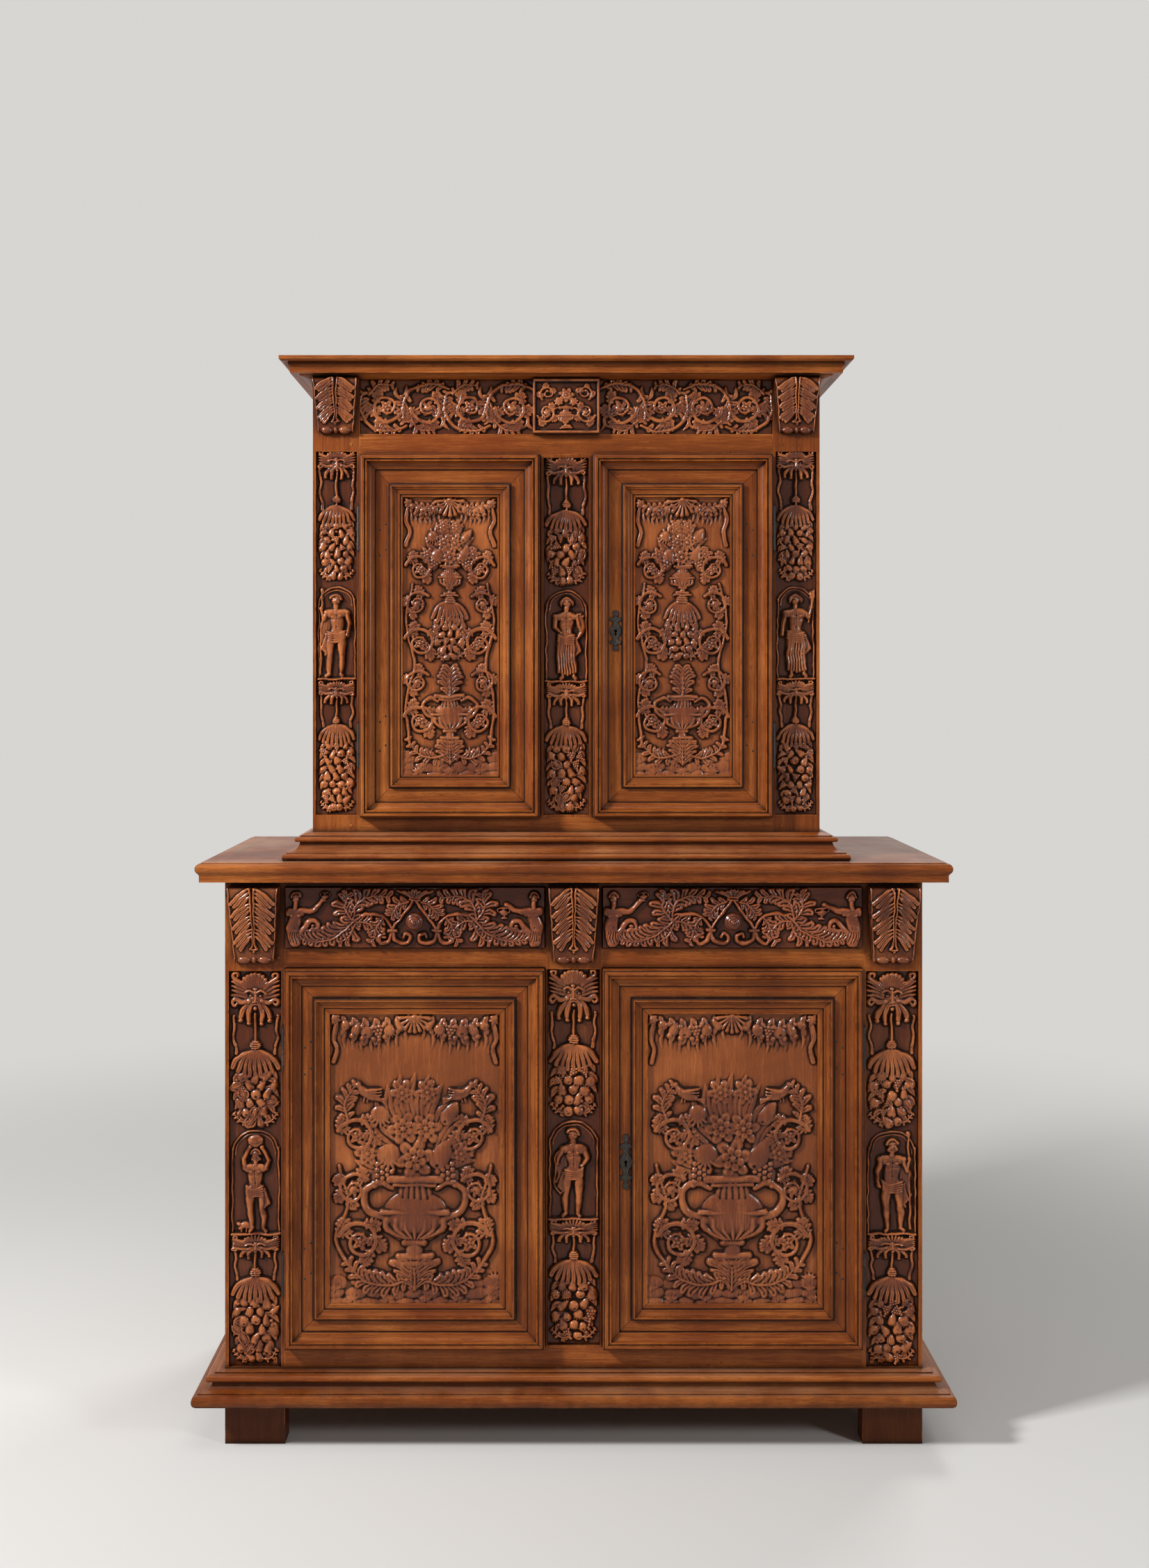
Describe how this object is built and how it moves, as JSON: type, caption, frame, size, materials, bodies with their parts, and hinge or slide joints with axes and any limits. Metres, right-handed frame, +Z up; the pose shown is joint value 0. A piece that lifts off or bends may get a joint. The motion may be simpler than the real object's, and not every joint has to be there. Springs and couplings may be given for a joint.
{
  "type": "cabinet",
  "caption": "Carved walnut cabinet in two bodies: a wide lower cupboard with drawers and hinged doors under a moulded ledge, and a narrower upper cupboard with a frieze and cornice.",
  "frame": {"origin": "on the floor, under the middle of the footprint", "axes": "+Z up, the doors face -Y, +X to the viewer's right"},
  "size_m": [1.4478, 0.5509, 2.0915],
  "materials": {
    "walnut": "waxed and polished carved walnut",
    "inner_wood": "plain planed boards",
    "iron": "dark hand-worked iron"
  },
  "bodies": {
    "case": {"lower_front_stiles": "walnut", "lower_middle_stile": "walnut", "lower_rear_stiles": "walnut", "lower_front_rails": "walnut", "lower_side_rails": "walnut", "lower_side_panels": "walnut", "lower_back_boards": "inner_wood", "lower_bottom_board": "inner_wood", "lower_shelf": "inner_wood", "inner_cleats": "inner_wood", "base_moulding": "walnut", "ledge_top": "walnut", "lower_brackets": "walnut", "plinth_moulding": "walnut", "upper_bottom_board": "inner_wood", "upper_front_stiles": "walnut", "upper_middle_stile": "walnut", "upper_rear_stiles": "walnut", "upper_front_rails": "walnut", "upper_side_rails": "walnut", "upper_side_panels": "walnut", "upper_back_boards": "inner_wood", "upper_shelf": "inner_wood", "frieze_panels": "walnut", "upper_brackets": "walnut", "cornice_moulding": "walnut", "upper_top_board": "inner_wood", "hinge_pins": "iron", "hinge_frame_leaves": "iron", "joint_pegs": "walnut"},
    "lower_left_door": {"lower_left_door_frame": "walnut", "lower_left_door_mouldings": "walnut", "lower_left_door_panel": "walnut", "lower_left_door_ironwork": "iron"},
    "lower_slide_bolt": {"lower_left_slide_bolt": "iron"},
    "lower_right_door": {"lower_right_door_frame": "walnut", "lower_right_door_mouldings": "walnut", "lower_right_door_panel": "walnut", "lower_right_door_ironwork": "iron", "lower_right_lock_case": "iron", "lower_right_escutcheon": "iron"},
    "lower_lock_bolt": {"lower_right_lock_bolt": "iron"},
    "upper_left_door": {"upper_left_door_frame": "walnut", "upper_left_door_mouldings": "walnut", "upper_left_door_panel": "walnut", "upper_left_door_ironwork": "iron"},
    "upper_slide_bolt": {"upper_left_slide_bolt": "iron"},
    "upper_right_door": {"upper_right_door_frame": "walnut", "upper_right_door_mouldings": "walnut", "upper_right_door_panel": "walnut", "upper_right_door_ironwork": "iron", "upper_right_lock_case": "iron", "upper_right_escutcheon": "iron"},
    "upper_lock_bolt": {"upper_right_lock_bolt": "iron"},
    "drawer_left": {"drawer_left_front": "walnut", "drawer_left_box": "inner_wood", "drawer_left_knob": "walnut"},
    "drawer_right": {"drawer_right_front": "walnut", "drawer_right_box": "inner_wood", "drawer_right_knob": "walnut"}
  },
  "joints": [
    {"name": "lower_left_door_hinge", "type": "hinge", "parent": "case", "child": "lower_left_door", "pos_m": [-0.5572, -0.2255, 0.545], "axis": [0, 0, -1], "range_deg": [0, 100]},
    {"name": "upper_left_door_hinge", "type": "hinge", "parent": "case", "child": "upper_left_door", "pos_m": [-0.4182, -0.1815, 1.554], "axis": [0, 0, -1], "range_deg": [0, 100]},
    {"name": "drawer_left_slide", "type": "slide", "parent": "case", "child": "drawer_left", "axis": [0, -1, 0], "range_m": [0, 0.33]},
    {"name": "lower_right_door_hinge", "type": "hinge", "parent": "case", "child": "lower_right_door", "pos_m": [0.5572, -0.2255, 0.545], "axis": [0, 0, 1], "range_deg": [0, 100]},
    {"name": "upper_right_door_hinge", "type": "hinge", "parent": "case", "child": "upper_right_door", "pos_m": [0.3902, -0.1815, 1.554], "axis": [0, 0, 1], "range_deg": [0, 100]},
    {"name": "drawer_right_slide", "type": "slide", "parent": "case", "child": "drawer_right", "axis": [0, -1, 0], "range_m": [0, 0.33]},
    {"name": "lower_lock_bolt_throw", "type": "slide", "parent": "lower_right_door", "child": "lower_lock_bolt", "axis": [-1, 0, 0], "range_m": [0, 0.016]},
    {"name": "lower_slide_bolt_lift", "type": "slide", "parent": "lower_left_door", "child": "lower_slide_bolt", "axis": [0, 0, 1], "range_m": [0, 0.013]},
    {"name": "upper_lock_bolt_throw", "type": "slide", "parent": "upper_right_door", "child": "upper_lock_bolt", "axis": [-1, 0, 0], "range_m": [0, 0.016]},
    {"name": "upper_slide_bolt_lift", "type": "slide", "parent": "upper_left_door", "child": "upper_slide_bolt", "axis": [0, 0, 1], "range_m": [0, 0.013]}
  ]
}
